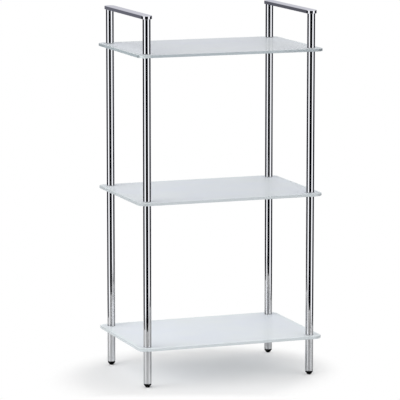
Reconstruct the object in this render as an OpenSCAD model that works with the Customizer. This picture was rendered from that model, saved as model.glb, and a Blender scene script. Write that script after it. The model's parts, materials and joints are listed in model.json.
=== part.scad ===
// Glass shelving unit: three glass shelves clamped between four tube posts, with a bar
// across the top of each end and four rubber feet.
// Sizes are millimetres. +Z is up, -Y is the front, and the origin is on the floor below the middle.

/* [Shelves] */
// Width of each glass shelf
shelf_w = 450; // [340:5:700]
// Depth of each glass shelf
shelf_d = 310; // [220:5:450]
// Thickness of the glass
shelf_t = 6; // [4:0.5:10]
// Radius of the shelf corners, seen from above
shelf_corner_r = 20; // [5:1:50]
// Bevel ground along the edges of the glass
shelf_bevel = 0.6; // [0.2:0.1:1.5]

/* [Heights] */
// From the floor to the bottom end of the tubes
foot_h = 9; // [5:0.5:20]
// From the bottom end of the tubes to the bottom shelf
foot_rise = 79; // [50:1:200]
// Clear height between the bottom and middle shelves
lower_bay_h = 330; // [150:5:450]
// Clear height between the middle and top shelves
upper_bay_h = 330; // [150:5:450]
// From the top shelf to the underside of the bars
top_rise = 80; // [50:5:200]

/* [Posts] */
// From the edges of a shelf to the centre of each post
post_inset = 25; // [18:1:60]
// Outside diameter of the tube
tube_d = 18.5; // [16:0.5:24]
// Wall of the tube
tube_wall = 1; // [0.8:0.1:1.5]
// Rounding of the outer rim where a tube is cut off
tube_rim_r = 0.4; // [0.1:0.1:0.7]

/* [Top bars] */
// Width of each bar, which is also the diameter of its round ends
bar_w = 25; // [22:0.5:40]
// Thickness of each bar
bar_t = 8; // [7:0.5:16]
// Rounding of the upper edges of a bar
bar_upper_r = 1.5; // [0.5:0.1:3]
// Rounding of the lower edges of a bar
bar_lower_r = 0.5; // [0.2:0.1:1.5]
// Depth of the stud holes in the underside of a bar
bar_hole_depth = 5.5; // [4:0.5:6]

/* [Shelf joints] */
// Diameter of the studs that join the posts through the shelves and to the bars
stud_d = 8; // [6:0.5:10]
// Length of a stud that is screwed into a plug
stud_grip = 10; // [6:1:20]
// Thickness of the bush flange that parts a tube from the glass
flange_t = 0.8; // [0.4:0.1:2]
// How far a bush flange stops short of the outside of the tube
flange_step = 0.5; // [0.2:0.1:2]
// Wall of the bush sleeve that lines the hole in the glass
sleeve_wall = 1; // [0.6:0.1:2]

/* [Tube plugs] */
// Length of the plugs fixed in the ends of the tubes
plug_l = 14; // [12:1:24]
// Lead-in at the inner end of a plug
plug_lead = 0.8; // [0.2:0.1:1.5]
// Radius of the two grip grooves round a plug
plug_groove_r = 0.6; // [0.2:0.1:1]

/* [Feet] */
// How far the shoulder of a foot stops short of the outside of the tube
foot_step = 0.5; // [0.2:0.1:2]
// Height of the straight collar at the top of a foot
foot_collar_h = 3; // [0.5:0.1:4]
// Diameter that a foot tapers to at the floor
foot_floor_d = 8.2; // [6:0.2:13]
// Rounding of the lower edge of a foot
foot_edge_r = 0.6; // [0.2:0.1:1.5]
// Diameter of the stem that holds a foot in its plug
foot_stem_d = 8; // [5:0.5:10]
// Length of that stem
foot_stem_l = 12; // [6:1:24]

/* [Fits] */
// Clearance all round between two pieces, one inside the other
fit_gap = 0.1; // [0.05:0.05:0.2]
// Clearance at the blind end of a hole
end_gap = 0.5; // [0.2:0.1:1]
// Chamfer on studs, stems and hole mouths
lead_chamfer = 0.6; // [0.2:0.1:1]

/* [Hidden] */
$fn = 96;
// How far a cut runs past the face that it opens
CUT = 1;

CHROME = [0.80, 0.82, 0.85];
FROSTED_GLASS = [0.86, 0.89, 0.91];
CLEAR_PLASTIC = [0.92, 0.93, 0.95];
ZINC = [0.62, 0.64, 0.66];
BLACK_RUBBER = [0.08, 0.08, 0.09];

// Undersides of the shelves and the bars
bottom_shelf_z = foot_h + foot_rise;
middle_shelf_z = bottom_shelf_z + shelf_t + lower_bay_h;
top_shelf_z = middle_shelf_z + shelf_t + upper_bay_h;
bar_z = top_shelf_z + shelf_t + top_rise;

// Centres of the posts
post_x = shelf_w / 2 - post_inset;
post_y = shelf_d / 2 - post_inset;

// One stud passes one bush sleeve, which lines one hole in the glass
stud_bore_d = stud_d + 2 * fit_gap;
sleeve_d = stud_bore_d + 2 * sleeve_wall;
glass_hole_d = sleeve_d + 2 * fit_gap;
sleeve_l = shelf_t / 2 - end_gap;
flange_d = tube_d - 2 * flange_step;
stem_bore_d = foot_stem_d + 2 * fit_gap;
plug_d = tube_d - 2 * tube_wall - 2 * fit_gap;

// Each shelf: its name and the height of its underside
SHELVES = [
    ["bottom_shelf", bottom_shelf_z],
    ["middle_shelf", middle_shelf_z],
    ["top_shelf", top_shelf_z]
];

// Each length of tube in a post: its name, its two ends and the bore of the plug in its bottom end
TUBES = [
    ["foot_tube", foot_h, bottom_shelf_z - flange_t, stem_bore_d],
    ["lower_tube", bottom_shelf_z + shelf_t + flange_t, middle_shelf_z - flange_t, stud_bore_d],
    ["upper_tube", middle_shelf_z + shelf_t + flange_t, top_shelf_z - flange_t, stud_bore_d],
    ["top_tube", top_shelf_z + shelf_t + flange_t, bar_z, stud_bore_d]
];

// Each post: its name and where it stands
CORNERS = [
    ["front_left", [-post_x, -post_y]],
    ["front_right", [post_x, -post_y]],
    ["rear_left", [-post_x, post_y]],
    ["rear_right", [post_x, post_y]]
];

// One copy of what follows at each post
module at_each_post() {
    for (corner = CORNERS) {
        translate(corner[1]) children();
    }
}

// Half section from x = 0 to reach, with its two outer corners rounded
module rounded_section(reach, height, upper_r, lower_r) {
    translate([0, lower_r]) square([reach, height - upper_r - lower_r]);
    square([reach - lower_r, height / 2]);
    translate([0, height / 2]) square([reach - upper_r, height / 2]);
    translate([reach - upper_r, height - upper_r]) circle(r = upper_r);
    translate([reach - lower_r, lower_r]) circle(r = lower_r);
}

// Half section of the glass from x = 0 to reach, with its ground edge
module glass_section(reach) {
    polygon([
        [0, 0],
        [reach - shelf_bevel, 0],
        [reach, shelf_bevel],
        [reach, shelf_t - shelf_bevel],
        [reach - shelf_bevel, shelf_t],
        [0, shelf_t]
    ]);
}

// Both halves of a glass section, run along a length
module glass_run(reach, length) {
    rotate([90, 0, 0]) linear_extrude(height = length, center = true) {
        glass_section(reach);
        mirror([1, 0]) glass_section(reach);
    }
}

// What the drill takes out of the glass at a post, with a bevel at both mouths
module glass_hole() {
    hole_r = glass_hole_d / 2;
    mouth_r = hole_r + shelf_bevel + CUT;
    rotate_extrude() polygon([
        [0, -CUT],
        [mouth_r, -CUT],
        [hole_r, shelf_bevel],
        [hole_r, shelf_t - shelf_bevel],
        [mouth_r, shelf_t + CUT],
        [0, shelf_t + CUT]
    ]);
}

// A shelf with rounded corners, and a hole for the stud and bushes of each post
module shelf_glass(underside) {
    corner_x = shelf_w / 2 - shelf_corner_r;
    corner_y = shelf_d / 2 - shelf_corner_r;
    color(FROSTED_GLASS) translate([0, 0, underside]) difference() {
        union() {
            glass_run(shelf_w / 2, 2 * corner_y);
            rotate([0, 0, 90]) glass_run(shelf_d / 2, 2 * corner_x);
            for (x = [-corner_x, corner_x], y = [-corner_y, corner_y]) {
                translate([x, y, 0]) rotate_extrude() glass_section(shelf_corner_r);
            }
        }
        at_each_post() glass_hole();
    }
}

// Half section of a top bar, seen along its length
module bar_section() {
    rounded_section(bar_w / 2, bar_t, bar_upper_r, bar_lower_r);
}

// A flat bar with round ends over the front and rear posts of one side
module top_bar(x) {
    color(CHROME) translate([x, 0, bar_z]) difference() {
        union() {
            rotate([90, 0, 0]) linear_extrude(height = 2 * post_y, center = true) {
                bar_section();
                mirror([1, 0]) bar_section();
            }
            for (y = [-post_y, post_y]) {
                translate([0, y, 0]) rotate_extrude() bar_section();
            }
        }
        for (y = [-post_y, post_y]) {
            translate([0, y, -CUT]) cylinder(d = stud_bore_d, h = bar_hole_depth + CUT);
        }
    }
}

// One length of tube, with the rims of its cut ends rounded
module tube(place, bottom, top) {
    color(CHROME) translate([place[0], place[1], bottom]) rotate_extrude() {
        translate([tube_d / 2 - tube_wall, 0]) {
            rounded_section(tube_wall, top - bottom, tube_rim_r, tube_rim_r);
        }
    }
}

// A plug for a tube end: its mouth at z = 0, and its grip grooves and lead-in above
module plug(bore_d) {
    plug_r = plug_d / 2;
    bore_r = bore_d / 2;
    rotate_extrude() difference() {
        polygon([
            [bore_r + lead_chamfer, 0],
            [plug_r, 0],
            [plug_r, plug_l - plug_lead],
            [plug_r - plug_lead, plug_l],
            [bore_r, plug_l],
            [bore_r, lead_chamfer]
        ]);
        for (groove_z = [plug_l / 3, plug_l * 2 / 3]) {
            translate([plug_r, groove_z]) circle(r = plug_groove_r);
        }
    }
}

// The four plugs in the bottom ends of one set of tubes
module bottom_plugs(end_z, bore_d) {
    color(ZINC) translate([0, 0, end_z]) at_each_post() plug(bore_d);
}

// The four plugs in the top ends of one set of tubes
module top_plugs(end_z) {
    color(ZINC) translate([0, 0, end_z]) at_each_post() mirror([0, 0, 1]) plug(stud_bore_d);
}

// A flanged bush: the flange stands on z = 0 and the sleeve hangs below it
module bush() {
    rotate_extrude() polygon([
        [stud_bore_d / 2, -sleeve_l],
        [sleeve_d / 2, -sleeve_l],
        [sleeve_d / 2, 0],
        [flange_d / 2, 0],
        [flange_d / 2, flange_t],
        [stud_bore_d / 2, flange_t]
    ]);
}

// The four bushes on the upper face of a shelf
module over_bushes(underside) {
    color(CLEAR_PLASTIC) translate([0, 0, underside + shelf_t]) at_each_post() bush();
}

// The four bushes on the lower face of a shelf
module under_bushes(underside) {
    color(CLEAR_PLASTIC) translate([0, 0, underside]) at_each_post() mirror([0, 0, 1]) bush();
}

// A plain stud with chamfered ends; its screw thread is left out
module stud(length) {
    stud_r = stud_d / 2;
    rotate_extrude() polygon([
        [0, 0],
        [stud_r - lead_chamfer, 0],
        [stud_r, lead_chamfer],
        [stud_r, length - lead_chamfer],
        [stud_r - lead_chamfer, length],
        [0, length]
    ]);
}

// The four studs that pass through a shelf and pull the tubes above and below together
module shelf_studs(underside) {
    reach = flange_t + stud_grip;
    color(ZINC) translate([0, 0, underside - reach]) at_each_post() stud(shelf_t + 2 * reach);
}

// The four studs that hold the bars down on the posts
module bar_studs() {
    color(ZINC) translate([0, 0, bar_z - stud_grip]) at_each_post() {
        stud(stud_grip + bar_hole_depth - end_gap);
    }
}

// A tapered rubber foot on the floor, with the stem that is pushed up into its plug
module foot(place) {
    shoulder_r = tube_d / 2 - foot_step;
    taper_h = foot_h - foot_collar_h;
    taper_r = shoulder_r - foot_floor_d / 2;
    slant = norm([taper_r, taper_h]);
    // Centre of the rounding that touches both the floor and the taper
    edge_x = foot_floor_d / 2 - foot_edge_r * (slant - taper_r) / taper_h;
    color(BLACK_RUBBER) translate([place[0], place[1], 0]) rotate_extrude() {
        polygon([
            [0, 0],
            [edge_x, 0],
            [edge_x + foot_edge_r * taper_h / slant, foot_edge_r * (1 - taper_r / slant)],
            [shoulder_r, taper_h],
            [shoulder_r, foot_h],
            [foot_stem_d / 2, foot_h],
            [foot_stem_d / 2, foot_h + foot_stem_l - lead_chamfer],
            [foot_stem_d / 2 - lead_chamfer, foot_h + foot_stem_l],
            [0, foot_h + foot_stem_l]
        ]);
        translate([edge_x, foot_edge_r]) circle(r = foot_edge_r);
    }
}

for (shelf = SHELVES) {
    shelf_glass(shelf[1]);
    under_bushes(shelf[1]);
    over_bushes(shelf[1]);
    shelf_studs(shelf[1]);
}
for (tube = TUBES) {
    bottom_plugs(tube[1], tube[3]);
    top_plugs(tube[2]);
}
for (corner = CORNERS, tube = TUBES) {
    tube(corner[1], tube[1], tube[2]);
}
for (corner = CORNERS) {
    foot(corner[1]);
}
top_bar(-post_x);  // left_top_bar
top_bar(post_x);  // right_top_bar
bar_studs();
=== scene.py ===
import json
import math

import bmesh
import bpy
from mathutils import Matrix, Vector


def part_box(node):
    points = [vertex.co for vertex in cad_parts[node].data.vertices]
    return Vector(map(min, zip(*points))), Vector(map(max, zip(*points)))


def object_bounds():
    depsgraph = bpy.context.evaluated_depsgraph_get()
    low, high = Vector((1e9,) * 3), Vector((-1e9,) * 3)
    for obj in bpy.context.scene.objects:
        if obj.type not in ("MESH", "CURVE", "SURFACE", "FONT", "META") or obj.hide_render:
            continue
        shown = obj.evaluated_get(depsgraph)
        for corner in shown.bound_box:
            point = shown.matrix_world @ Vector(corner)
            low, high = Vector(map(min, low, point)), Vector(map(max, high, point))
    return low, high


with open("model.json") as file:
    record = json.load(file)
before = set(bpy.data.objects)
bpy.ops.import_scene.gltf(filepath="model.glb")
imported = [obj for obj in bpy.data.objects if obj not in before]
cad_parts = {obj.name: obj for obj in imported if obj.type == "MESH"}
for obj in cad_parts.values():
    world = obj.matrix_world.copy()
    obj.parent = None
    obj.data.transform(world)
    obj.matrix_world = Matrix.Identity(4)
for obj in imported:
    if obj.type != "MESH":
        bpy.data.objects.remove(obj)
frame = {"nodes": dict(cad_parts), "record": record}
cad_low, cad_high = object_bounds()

# Glass shelving unit: frosted glass shelves between chromed tube posts, a chromed bar across the
# top of each end, and black rubber feet. Metres, +Z up, -Y the front.

# Where the camera stands, how far it is turned from +Y towards +X, how far it looks down, and its
# lens and sensor in millimetres
CAMERA_PLACE = (-2.2991, -6.1545, 1.4518)
CAMERA_HEADING = math.radians(20.2881)
CAMERA_PITCH = math.radians(9.0623)
CAMERA_LENS = 256.33
CAMERA_SENSOR = 36.0

# Straight ahead of the camera and to its right, on the floor
AHEAD = (math.sin(CAMERA_HEADING), math.cos(CAMERA_HEADING))
RIGHT = (AHEAD[1], -AHEAD[0])

# The shelves reach as far as the whole object: half their width and half their depth, then the
# radius of their corners and the ground bevel along their edges
HALF_WIDTH, HALF_DEPTH = cad_high[0], cad_high[1]
CORNER_RADIUS = 0.020
BEVEL = 0.0006

SHELVES = ("bottom_shelf", "middle_shelf", "top_shelf")

BLACK = (0.0, 0.0, 0.0)
WHITE = (1.0, 1.0, 1.0)


class Signal:
    """A number that varies over a surface. A sum with it adds its Math nodes to the finish."""

    def __init__(self, finish, socket):
        self.finish = finish
        self.socket = socket

    def math(self, operation, *values):
        node = self.finish.node("ShaderNodeMath", {"operation": operation}, dict(enumerate(values)))
        return Signal(self.finish, node.outputs[0])

    def __add__(self, other):
        return self.math("ADD", self, other)

    def __sub__(self, other):
        return self.math("SUBTRACT", self, other)

    def __rsub__(self, other):
        return self.math("SUBTRACT", other, self)

    def __mul__(self, other):
        return self.math("MULTIPLY", self, other)

    def __truediv__(self, other):
        return self.math("DIVIDE", self, other)

    def __abs__(self):
        return self.math("ABSOLUTE", self)

    def root(self):
        return self.math("SQRT", self)

    def at_least(self, other):
        return self.math("MAXIMUM", self, other)

    def at_most(self, other):
        return self.math("MINIMUM", self, other)

    __radd__ = __add__
    __rmul__ = __mul__


class Finish:
    """The nodes of one material, or of the world."""

    def __init__(self, owner):
        owner.use_nodes = True
        self.owner = owner
        self.tree = owner.node_tree
        self.tree.nodes.clear()

    def feed(self, socket, value):
        if isinstance(value, Signal):
            value = value.socket
        if isinstance(value, bpy.types.NodeSocket):
            self.tree.links.new(value, socket)
        elif socket.type == "RGBA":
            socket.default_value = (*value, 1.0)
        else:
            socket.default_value = value

    def node(self, kind, settings=None, inputs=None):
        made = self.tree.nodes.new(kind)
        for name, value in (settings or {}).items():
            if name == "stops":
                self.set_stops(made.color_ramp, value)
            else:
                setattr(made, name, value)
        for key, value in (inputs or {}).items():
            self.feed(made.inputs[key], value)
        return made

    def set_stops(self, ramp, stops):
        while len(ramp.elements) < len(stops):
            ramp.elements.new(1.0)
        for element, (place, colour) in zip(ramp.elements, stops):
            element.position = place
            element.color = (*colour, 1.0)

    def place(self, turn=(0.0, 0.0, 0.0), scale=(1.0, 1.0, 1.0)):
        """Object coordinates, turned and scaled."""
        coordinates = self.node("ShaderNodeTexCoord").outputs["Object"]
        inputs = {"Vector": coordinates, "Rotation": turn, "Scale": scale}
        return self.node("ShaderNodeMapping", {}, inputs).outputs[0]

    def parts(self, vector):
        node = self.node("ShaderNodeSeparateXYZ", {}, {"Vector": vector})
        return [Signal(self, socket) for socket in node.outputs]

    def noise(self, vector, scale, detail=2.0, roughness=0.5):
        inputs = {"Vector": vector, "Scale": scale, "Detail": detail, "Roughness": roughness}
        return Signal(self, self.node("ShaderNodeTexNoise", {}, inputs).outputs[0])

    def smooth(self, value, low, high, start=0.0, end=1.0):
        """start up to low, end from high on, and a smooth change between them."""
        inputs = {"Value": value, "From Min": low, "From Max": high, "To Min": start, "To Max": end}
        node = self.node("ShaderNodeMapRange", {"interpolation_type": "SMOOTHSTEP"}, inputs)
        return Signal(self, node.outputs[0])

    def fade(self, value, low, high):
        """1 up to low, 0 from high on, and a smooth change between them."""
        return self.smooth(value, low, high, 1.0, 0.0)

    def ramp(self, value, stops):
        return self.node("ShaderNodeValToRGB", {"stops": stops}, {"Fac": value}).outputs[0]

    def mix(self, factor, first, second):
        """The first colour where factor is 0, and the second where it is 1."""
        # A Mix node has its sockets for colours at 6 and 7, and their result at 2
        node = self.node("ShaderNodeMix", {"data_type": "RGBA"}, {0: factor, 6: first, 7: second})
        return node.outputs[2]

    def mix_shaders(self, factor, first, second):
        """The first shader where factor is 0, and the second where it is 1."""
        return self.node("ShaderNodeMixShader", {}, {0: factor, 1: first, 2: second}).outputs[0]

    def bump(self, height, distance, strength=1.0):
        inputs = {"Height": height, "Distance": distance, "Strength": strength}
        return self.node("ShaderNodeBump", {}, inputs).outputs[0]

    def light_path(self, name):
        """That output of the Light Path node."""
        return Signal(self, self.node("ShaderNodeLightPath").outputs[name])

    def is_seen(self):
        """1 where the camera sees it, also through glass."""
        return self.light_path("Is Camera Ray").at_least(self.light_path("Is Transmission Ray"))

    def is_mirrored(self):
        """1 where polished metal or another glossy surface shows it, but not through glass."""
        return self.light_path("Is Glossy Ray") * (1.0 - self.light_path("Is Transmission Ray"))

    def shader(self, kind, **inputs):
        """A shader, its sockets named with underlines for spaces."""
        named = {key.replace("_", " "): value for key, value in inputs.items()}
        return self.node(kind, {}, named).outputs[0]

    def show(self, shader, output="ShaderNodeOutputMaterial"):
        self.node(output, {}, {"Surface": shader})
        return self.owner

    def surface(self, **inputs):
        return self.show(self.shader("ShaderNodeBsdfPrincipled", **inputs))


def new_finish(name):
    return Finish(bpy.data.materials.new(name))


def shelf_faces(shelf):
    """How high the lower and the upper face of a shelf lie."""
    low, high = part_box(shelf + "_glass")
    return low[2], high[2]


def joint_heights():
    """The faces where tubes end against a shelf or a bar."""
    heights = [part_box("left_top_bar")[0][2]]
    for shelf in SHELVES:
        heights += shelf_faces(shelf)
    return heights


def near_joints(finish, height, reach):
    """1 at the end of a tube, down to 0 at that reach from it."""
    nearest = None
    for joint in joint_heights():
        gap = abs(height - joint)
        nearest = gap if nearest is None else nearest.at_most(gap)
    return finish.fade(nearest, 0.0, reach)


def chromed_tube():
    """Bright chrome on drawn tube: lines along it, wiping smears, and a dull ring at each joint."""
    finish = new_finish("chrome_tube")
    height = finish.parts(finish.place())[2]
    drawn = finish.noise(finish.place(scale=(1.0, 1.0, 0.012)), 2600.0, 3.0)
    smears = finish.noise(finish.place(scale=(1.0, 1.0, 0.35)), 46.0, 4.0, 0.6)
    dulled = near_joints(finish, height, 0.003)
    smeared = finish.smooth(smears, 0.50, 0.72)
    roughness = 0.012 + 0.020 * smeared + 0.010 * drawn + 0.08 * dulled
    colour = finish.mix(dulled * 0.4, (0.70, 0.71, 0.725), (0.56, 0.57, 0.58))
    return finish.surface(Base_Color=colour, Metallic=1.0, Roughness=roughness)


def chromed_bar():
    """Bright chrome on a solid bar: polishing lines along it, and smears where hands hold it."""
    finish = new_finish("chrome_bar")
    polished = finish.noise(finish.place(scale=(1.0, 0.02, 1.0)), 1900.0, 3.0)
    handled = finish.smooth(finish.noise(finish.place(), 38.0, 5.0, 0.62), 0.48, 0.70)
    roughness = 0.015 + 0.04 * handled + 0.012 * polished
    colour = finish.mix(handled * 0.25, (0.69, 0.695, 0.72), (0.62, 0.63, 0.65))
    return finish.surface(Base_Color=colour, Metallic=1.0, Roughness=roughness)


def beyond_straight(across, back):
    """How far a point lies past where a shelf's corners start, along its width and along its depth."""
    return abs(across) - (HALF_WIDTH - CORNER_RADIUS), abs(back) - (HALF_DEPTH - CORNER_RADIUS)


def from_outline(across, back):
    """How far inside the outline of a shelf a point lies."""
    beyond_side, beyond_end = beyond_straight(across, back)
    past_side, past_end = beyond_side.at_least(0.0), beyond_end.at_least(0.0)
    round_corner = (past_side * past_side + past_end * past_end).root()
    inside = beyond_side.at_least(beyond_end).at_most(0.0)
    return CORNER_RADIUS - round_corner - inside


def ground_edges_with_painted_light(finish, across, back, on_top):
    """The greenish grey of the ground edges, with painted light and shade on it: the lower shelves'
    edges are painted lighter than the top shelf's, with their left ends painted lighter on the lower
    shelves and deeper on the top one; painted shade in the corners, at the rear left, at the front
    left and towards the right of the top shelf; and a painted highlight beside the front left corner
    there."""
    from_left, from_right = across + HALF_WIDTH, HALF_WIDTH - across
    from_front, from_rear = back + HALF_DEPTH, HALF_DEPTH - back
    left_end = finish.fade(from_left, 0.001, 0.003)
    # Painted light and shade: the lower shelves' edges are painted lighter than the top shelf's, and
    # their left ends are painted lighter on the lower shelves and deeper on the top one
    lower_edges_painted_lighter = finish.mix(left_end, (0.590, 0.636, 0.658), (0.613, 0.660, 0.680))
    top_shelf = finish.mix(left_end, (0.536, 0.603, 0.642), (0.472, 0.540, 0.565))
    colour = finish.mix(on_top, lower_edges_painted_lighter, top_shelf)
    beyond_side, beyond_end = beyond_straight(across, back)
    # Painted shade on the ground edges: in the corners, at the rear left, at the front left and
    # towards the right of the top shelf
    in_corner = finish.smooth(beyond_side.at_most(beyond_end), 0.0, 0.006)
    rear_left = left_end * finish.fade(from_rear, 0.045, 0.070)
    front_left = on_top * finish.fade(from_front, 0.015, 0.025) * finish.fade(from_left, 0.021, 0.029)
    # A painted highlight beside the front left corner of the top shelf
    painted_highlight = front_left * finish.smooth(from_left, 0.001, 0.005)
    shade = in_corner * (0.08 + 0.20 * on_top) + rear_left * (0.06 + 0.16 * on_top)
    shade = shade + 0.16 * (front_left - painted_highlight) + 0.18 * on_top * finish.fade(from_right, 0.035, 0.125)
    colour = finish.mix(shade.at_most(0.38) * (1.0 - painted_highlight), colour, BLACK)
    # The painted highlight turns the edge pale there
    return finish.mix(painted_highlight * 0.7, colour, (0.86, 0.92, 0.94))


def frosted_glass():
    """Satin white glass: a fine etched grain, a lighter band inside its outline that is a painted
    reflection, and greenish ground edges with painted light and shade. In the posts it is nearly a
    mirror, so that their stripes run down to the shelves."""
    finish = new_finish("frosted_glass")
    across, back, height = finish.parts(finish.place())
    bottom, middle, top = [shelf_faces(shelf) for shelf in SHELVES]
    on_top = finish.smooth(height, middle[1], top[0])
    depth = from_outline(across, back)
    edge = finish.fade(depth, BEVEL, BEVEL * 1.6)
    # The band inside each shelf's outline that the painted reflection lightens
    painted_edge_reflection = finish.fade(depth, 0.001, 0.016)
    clouds = finish.noise(finish.place(), 7.0, 3.0, 0.5)
    grain = finish.noise(finish.place(), 3800.0, 2.0)
    wiped = finish.smooth(finish.noise(finish.place(scale=(1.0, 2.6, 1.0)), 16.0, 4.0), 0.45, 0.75)
    body = finish.ramp(clouds, [(0.35, (0.866, 0.904, 0.955)), (0.65, (0.888, 0.926, 0.942))])
    # Painted reflection: a lighter band inside the outline of each shelf
    body = finish.mix(painted_edge_reflection * 0.8, body, (0.880, 0.948, 0.955))
    # The ground edges, with their painted light and shade and a painted highlight
    body = finish.mix(edge, body, ground_edges_with_painted_light(finish, across, back, on_top))
    roughness = 0.42 + 0.08 * grain - 0.05 * wiped - 0.30 * edge
    mirrored = finish.is_mirrored()
    gloss = mirrored * finish.smooth(height, bottom[1], middle[0], 0.45, 0.90)
    body = finish.mix(mirrored, body, (0.93, 0.94, 0.96))
    roughness = roughness * (1.0 - mirrored * 0.97)
    return finish.surface(
        Base_Color=body, Metallic=(0.04 * edge).at_least(gloss), Roughness=roughness,
        IOR=1.5, Transmission_Weight=0.03, Specular_IOR_Level=0.04,
        Coat_Weight=0.22 + 0.35 * edge, Coat_Roughness=0.01, Coat_IOR=1.5,
        Normal=finish.bump(grain, 0.00002, 0.6))


def black_rubber():
    """Moulded rubber: a fine matt skin, a little scuffed and dusty where it meets the floor."""
    finish = new_finish("black_rubber")
    height = finish.parts(finish.place())[2]
    skin = finish.noise(finish.place(), 2200.0, 3.0, 0.6)
    patches = finish.noise(finish.place(), 260.0, 3.0)
    dusty = finish.fade(height, 0.0, 0.0018) * patches
    colour = finish.mix(dusty * 0.5, (0.0010, 0.0010, 0.0012), (0.016, 0.015, 0.014))
    roughness = 0.45 + 0.15 * patches + 0.2 * dusty
    return finish.surface(
        Base_Color=colour, Roughness=roughness, Specular_IOR_Level=0.04,
        Normal=finish.bump(skin, 0.00003, 0.7))


def zinc_plug():
    """Turned zinc: fine rings round it and a dull bloom."""
    finish = new_finish("zinc_plug")
    rings = finish.noise(finish.place(scale=(0.05, 0.05, 1.0)), 5200.0, 3.0)
    bloom = finish.noise(finish.place(), 240.0, 4.0)
    colour = finish.ramp(bloom, [(0.3, (0.52, 0.53, 0.55)), (0.7, (0.66, 0.67, 0.69))])
    return finish.surface(
        Base_Color=colour, Metallic=1.0, Roughness=0.30 + 0.22 * bloom,
        Normal=finish.bump(rings, 0.00001))


def steel_stud():
    """Zinc-plated stud: the shine of its plating varies round the turns of its thread."""
    finish = new_finish("steel_stud")
    plating = finish.noise(finish.place(), 420.0, 3.0)
    turns = finish.noise(finish.place(scale=(0.08, 0.08, 1.0)), 2400.0, 2.0)
    colour = finish.ramp(plating, [(0.3, (0.58, 0.59, 0.60)), (0.7, (0.72, 0.73, 0.74))])
    return finish.surface(
        Base_Color=colour, Metallic=1.0, Roughness=0.22 + 0.16 * plating,
        Normal=finish.bump(turns, 0.00001))


def clear_bush():
    """Clear moulded plastic with a faint flow in it."""
    finish = new_finish("clear_bush")
    flow = finish.noise(finish.place(), 320.0, 2.0)
    colour = finish.ramp(flow, [(0.3, (0.86, 0.89, 0.91)), (0.7, (0.93, 0.95, 0.96))])
    return finish.surface(
        Base_Color=colour, Roughness=0.10 + 0.12 * flow, IOR=1.49, Transmission_Weight=0.75,
        Normal=finish.bump(flow, 0.00001))


def give_finishes():
    """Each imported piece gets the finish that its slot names."""
    made = {
        "chrome_tube": chromed_tube(),
        "chrome_bar": chromed_bar(),
        "frosted_glass": frosted_glass(),
        "black_rubber": black_rubber(),
        "zinc_plug": zinc_plug(),
        "steel_stud": steel_stud(),
        "clear_bush": clear_bush(),
    }
    slots = {part["node"]: part["material_slot"] for part in frame["record"]["subparts"]}
    for name, piece in frame["nodes"].items():
        for place in piece.material_slots:
            place.material = made[slots[name]]


# The floor reaches this far from the middle: to each side, towards the camera and away from it
FLOOR_SIDE = 0.80
FLOOR_NEAR = 0.83
FLOOR_FAR = 2.60

# The shadow keeps to an ellipse that lies askew to the view: its middle and its reach, along the
# diagonal that runs away to the right and along the one that runs nearer to the right
SHADOW_MIDDLE = (-0.0610, 0.0150)
SHADOW_REACH = (0.2930, 0.2520)
# Outwards from the first of these shares of its reach the floor turns white, and at the second it is
# white. Towards the camera it turns white between these two distances from the middle.
WHITE_SHARES = (0.843, 1.294)
WHITE_NEARER = (0.24, 0.31)

FLOOR_COLOUR = (0.945, 0.940, 0.936)


def white_out(finish, across, back):
    """1 where the floor is lost in the white backdrop."""
    diagonal = math.sqrt(0.5)
    to_far_right = ((across + back) * diagonal - SHADOW_MIDDLE[0]) / SHADOW_REACH[0]
    to_near_right = ((across - back) * diagonal - SHADOW_MIDDLE[1]) / SHADOW_REACH[1]
    share = (to_far_right * to_far_right + to_near_right * to_near_right).root()
    return finish.smooth(share, *WHITE_SHARES).at_least(finish.smooth(back * -1.0, *WHITE_NEARER))


def floor_finish():
    """Pale floor that keeps the shadow and runs out into the white backdrop. Metal shows it a little
    polished, and with painted shade: most of all far in front of the object, and close to it more at
    the right, where it is a painted shadow."""
    finish = new_finish("pale_floor")
    across, back = finish.parts(finish.place(turn=(0.0, 0.0, CAMERA_HEADING)))[:2]
    nearer = back * -1.0
    seen, mirrored = finish.is_seen(), finish.is_mirrored()
    # Painted shade: where metal shows the floor its colour is painted dim, most of all far in front of
    # the object, with a painted shadow close to it at the right
    painted_shadow_at_right = finish.fade(nearer, 0.55, 0.75) * finish.smooth(across, -0.1, 0.1, -0.10, 0.10)
    painted_shade_in_metal = finish.smooth(nearer, 0.20, 0.75, 0.18, 0.50) + painted_shadow_at_right
    colour = finish.mix(mirrored * painted_shade_in_metal, FLOOR_COLOUR, BLACK)
    matt = finish.shader("ShaderNodeBsdfDiffuse", Color=colour)
    polish = finish.shader("ShaderNodeBsdfGlossy", Color=WHITE, Roughness=0.2)
    white = finish.shader("ShaderNodeEmission", Color=WHITE)
    shown = finish.mix_shaders(mirrored * 0.32, matt, polish)
    return finish.show(finish.mix_shaders(white_out(finish, across, back) * seen, shown, white))


def lay_floor():
    sheet = bmesh.new()
    bmesh.ops.create_grid(sheet, x_segments=8, y_segments=8, size=1.0)
    turned = Matrix.Rotation(-CAMERA_HEADING, 4, "Z")
    centre = Vector((0.0, (FLOOR_FAR - FLOOR_NEAR) / 2, 0.0))
    sized = Matrix.Diagonal((FLOOR_SIDE, (FLOOR_FAR + FLOOR_NEAR) / 2, 1.0, 1.0))
    bmesh.ops.transform(sheet, matrix=turned @ Matrix.Translation(centre) @ sized, verts=sheet.verts)
    mesh = bpy.data.meshes.new("floor")
    sheet.to_mesh(mesh)
    sheet.free()
    mesh.materials.append(floor_finish())
    floor = bpy.data.objects.new("floor", mesh)
    bpy.context.scene.collection.objects.link(floor)


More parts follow.
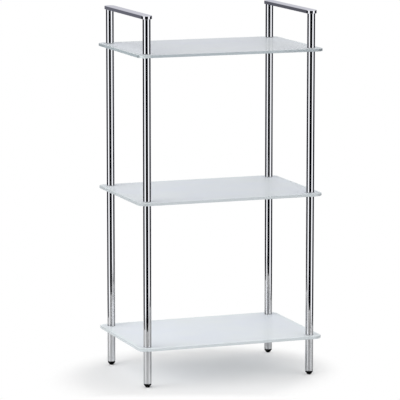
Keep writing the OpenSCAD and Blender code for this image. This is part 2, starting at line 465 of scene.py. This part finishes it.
# Soft light from a whole side: how far round that side is, in degrees from behind the camera to its
# right, and the strength. Then how high up all of it comes from, how far it is spread, and how far
# away its lamps hang.
SOFT_LAMPS = (
    ("left_lamp", -75.0, 1.59),
    ("front_lamp", 25.0, 0.49),
    ("right_lamp", 125.0, 0.96),
    ("rear_lamp", 175.0, 0.60),
)
SOFT_LAMP_RISE = math.radians(30.0)
SOFT_LAMP_SPREAD = math.radians(90.0)
SOFT_LAMP_AWAY = 3.0

# Panels near the object and low enough to light the lower shelves through the bays: how far round,
# how far away, how high, the width and height, and the power. Then the height that they aim at.
LOW_LAMPS = (
    ("low_left_lamp", -60.0, 1.7, 0.75, (1.2, 0.9), 8.07),
    ("low_right_lamp", 60.0, 1.7, 0.75, (1.2, 0.9), 5.74),
    ("low_front_lamp", 0.0, 0.9, 0.15, (0.8, 0.2), 1.23),
)
LOW_LAMP_AIM = 0.2


def hang_lamp(name, kind, around, away, height, aim_height):
    """A lamp turned to the middle of the object at that height. Metal shows the world instead."""
    lamp = bpy.data.lights.new(name, kind)
    piece = bpy.data.objects.new(name, lamp)
    bpy.context.scene.collection.objects.link(piece)
    right, ahead = math.sin(math.radians(around)) * away, -math.cos(math.radians(around)) * away
    piece.location = (RIGHT[0] * right + AHEAD[0] * ahead, RIGHT[1] * right + AHEAD[1] * ahead, height)
    aim = Vector((0.0, 0.0, aim_height)) - piece.location
    piece.rotation_euler = aim.to_track_quat("-Z", "Y").to_euler()
    piece.visible_camera = False
    piece.visible_glossy = False
    return lamp


def light_studio():
    level = SOFT_LAMP_AWAY * math.cos(SOFT_LAMP_RISE)
    height = SOFT_LAMP_AWAY * math.sin(SOFT_LAMP_RISE)
    for name, around, strength in SOFT_LAMPS:
        lamp = hang_lamp(name, "SUN", around, level, height, 0.0)
        lamp.angle = SOFT_LAMP_SPREAD
        lamp.energy = strength
    for name, around, away, height, size, power in LOW_LAMPS:
        lamp = hang_lamp(name, "AREA", around, away, height, LOW_LAMP_AIM)
        lamp.shape = "RECTANGLE"
        lamp.size, lamp.size_y = size
        lamp.energy = power


# What stands round polished metal, from straight towards the camera, 0, to straight away from it, 1:
# a dark room behind the camera, bright panels beside it, dark cards at the sides and a grey backdrop
DARK_ROOM = (0.001, 0.001, 0.002)
BRIGHT_PANEL = (0.98, 0.98, 1.00)
GREY_BACKDROP = (0.440, 0.440, 0.480)
ROUND_METAL = (
    (0.000, DARK_ROOM),
    (0.084, DARK_ROOM),
    (0.103, BRIGHT_PANEL),
    (0.335, BRIGHT_PANEL),
    (0.360, (0.005, 0.006, 0.008)),
    (0.850, (0.012, 0.012, 0.016)),
    (0.866, (0.085, 0.085, 0.101)),
    (0.888, (0.122, 0.123, 0.147)),
    (0.935, (0.165, 0.165, 0.195)),
    (0.974, GREY_BACKDROP),
    (1.000, GREY_BACKDROP),
)
PALE_CEILING = (0.72, 0.73, 0.76)
# The dark room above the horizon, so that the tops of the bars aren't black when seen from behind
PALER_ROOM = (0.46, 0.46, 0.48)
# What metal shows of this studio is this much brighter than the colours above
STUDIO_STRENGTH = 1.47
# The light of the world on surfaces
PLAIN_LIGHT = (0.16, 0.16, 0.162)


def set_world():
    """White to the camera and through glass, plain light to a surface, and a studio to metal."""
    world = bpy.data.worlds.new("studio")
    bpy.context.scene.world = world
    finish = Finish(world)
    east, north, up = finish.parts(finish.node("ShaderNodeTexCoord").outputs["Generated"])
    level = (1.0 - up * up).at_least(0.0001).root()
    away = (east * AHEAD[0] + north * AHEAD[1]) / level * 0.5 + 0.5
    studio = finish.ramp(away, ROUND_METAL)
    # A post that is seen in a shelf keeps its black stripes, so only a first reflection is paler
    first = finish.fade(finish.light_path("Glossy Depth"), 1.2, 1.8)
    paler = first * finish.smooth(up, 0.02, 0.14) * finish.fade(away, 0.40, 0.85)
    studio = finish.mix(paler, studio, PALER_ROOM)
    studio = finish.mix(finish.smooth(up, 0.28, 0.60), studio, PALE_CEILING)
    mirrored = finish.is_mirrored()
    colour = finish.mix(mirrored, finish.mix(finish.is_seen(), PLAIN_LIGHT, WHITE), studio)
    strength = 1.0 + mirrored * (STUDIO_STRENGTH - 1.0)
    background = finish.shader("ShaderNodeBackground", Color=colour, Strength=strength)
    finish.show(background, "ShaderNodeOutputWorld")


def set_camera():
    lens = bpy.data.cameras.new("camera")
    lens.lens = CAMERA_LENS
    lens.sensor_width = CAMERA_SENSOR
    camera = bpy.data.objects.new("camera", lens)
    bpy.context.scene.collection.objects.link(camera)
    camera.location = CAMERA_PLACE
    camera.rotation_euler = (math.pi / 2 - CAMERA_PITCH, 0.0, -CAMERA_HEADING)
    bpy.context.scene.camera = camera


bpy.context.scene.view_settings.view_transform = "Standard"
give_finishes()
lay_floor()
light_studio()
set_world()
set_camera()
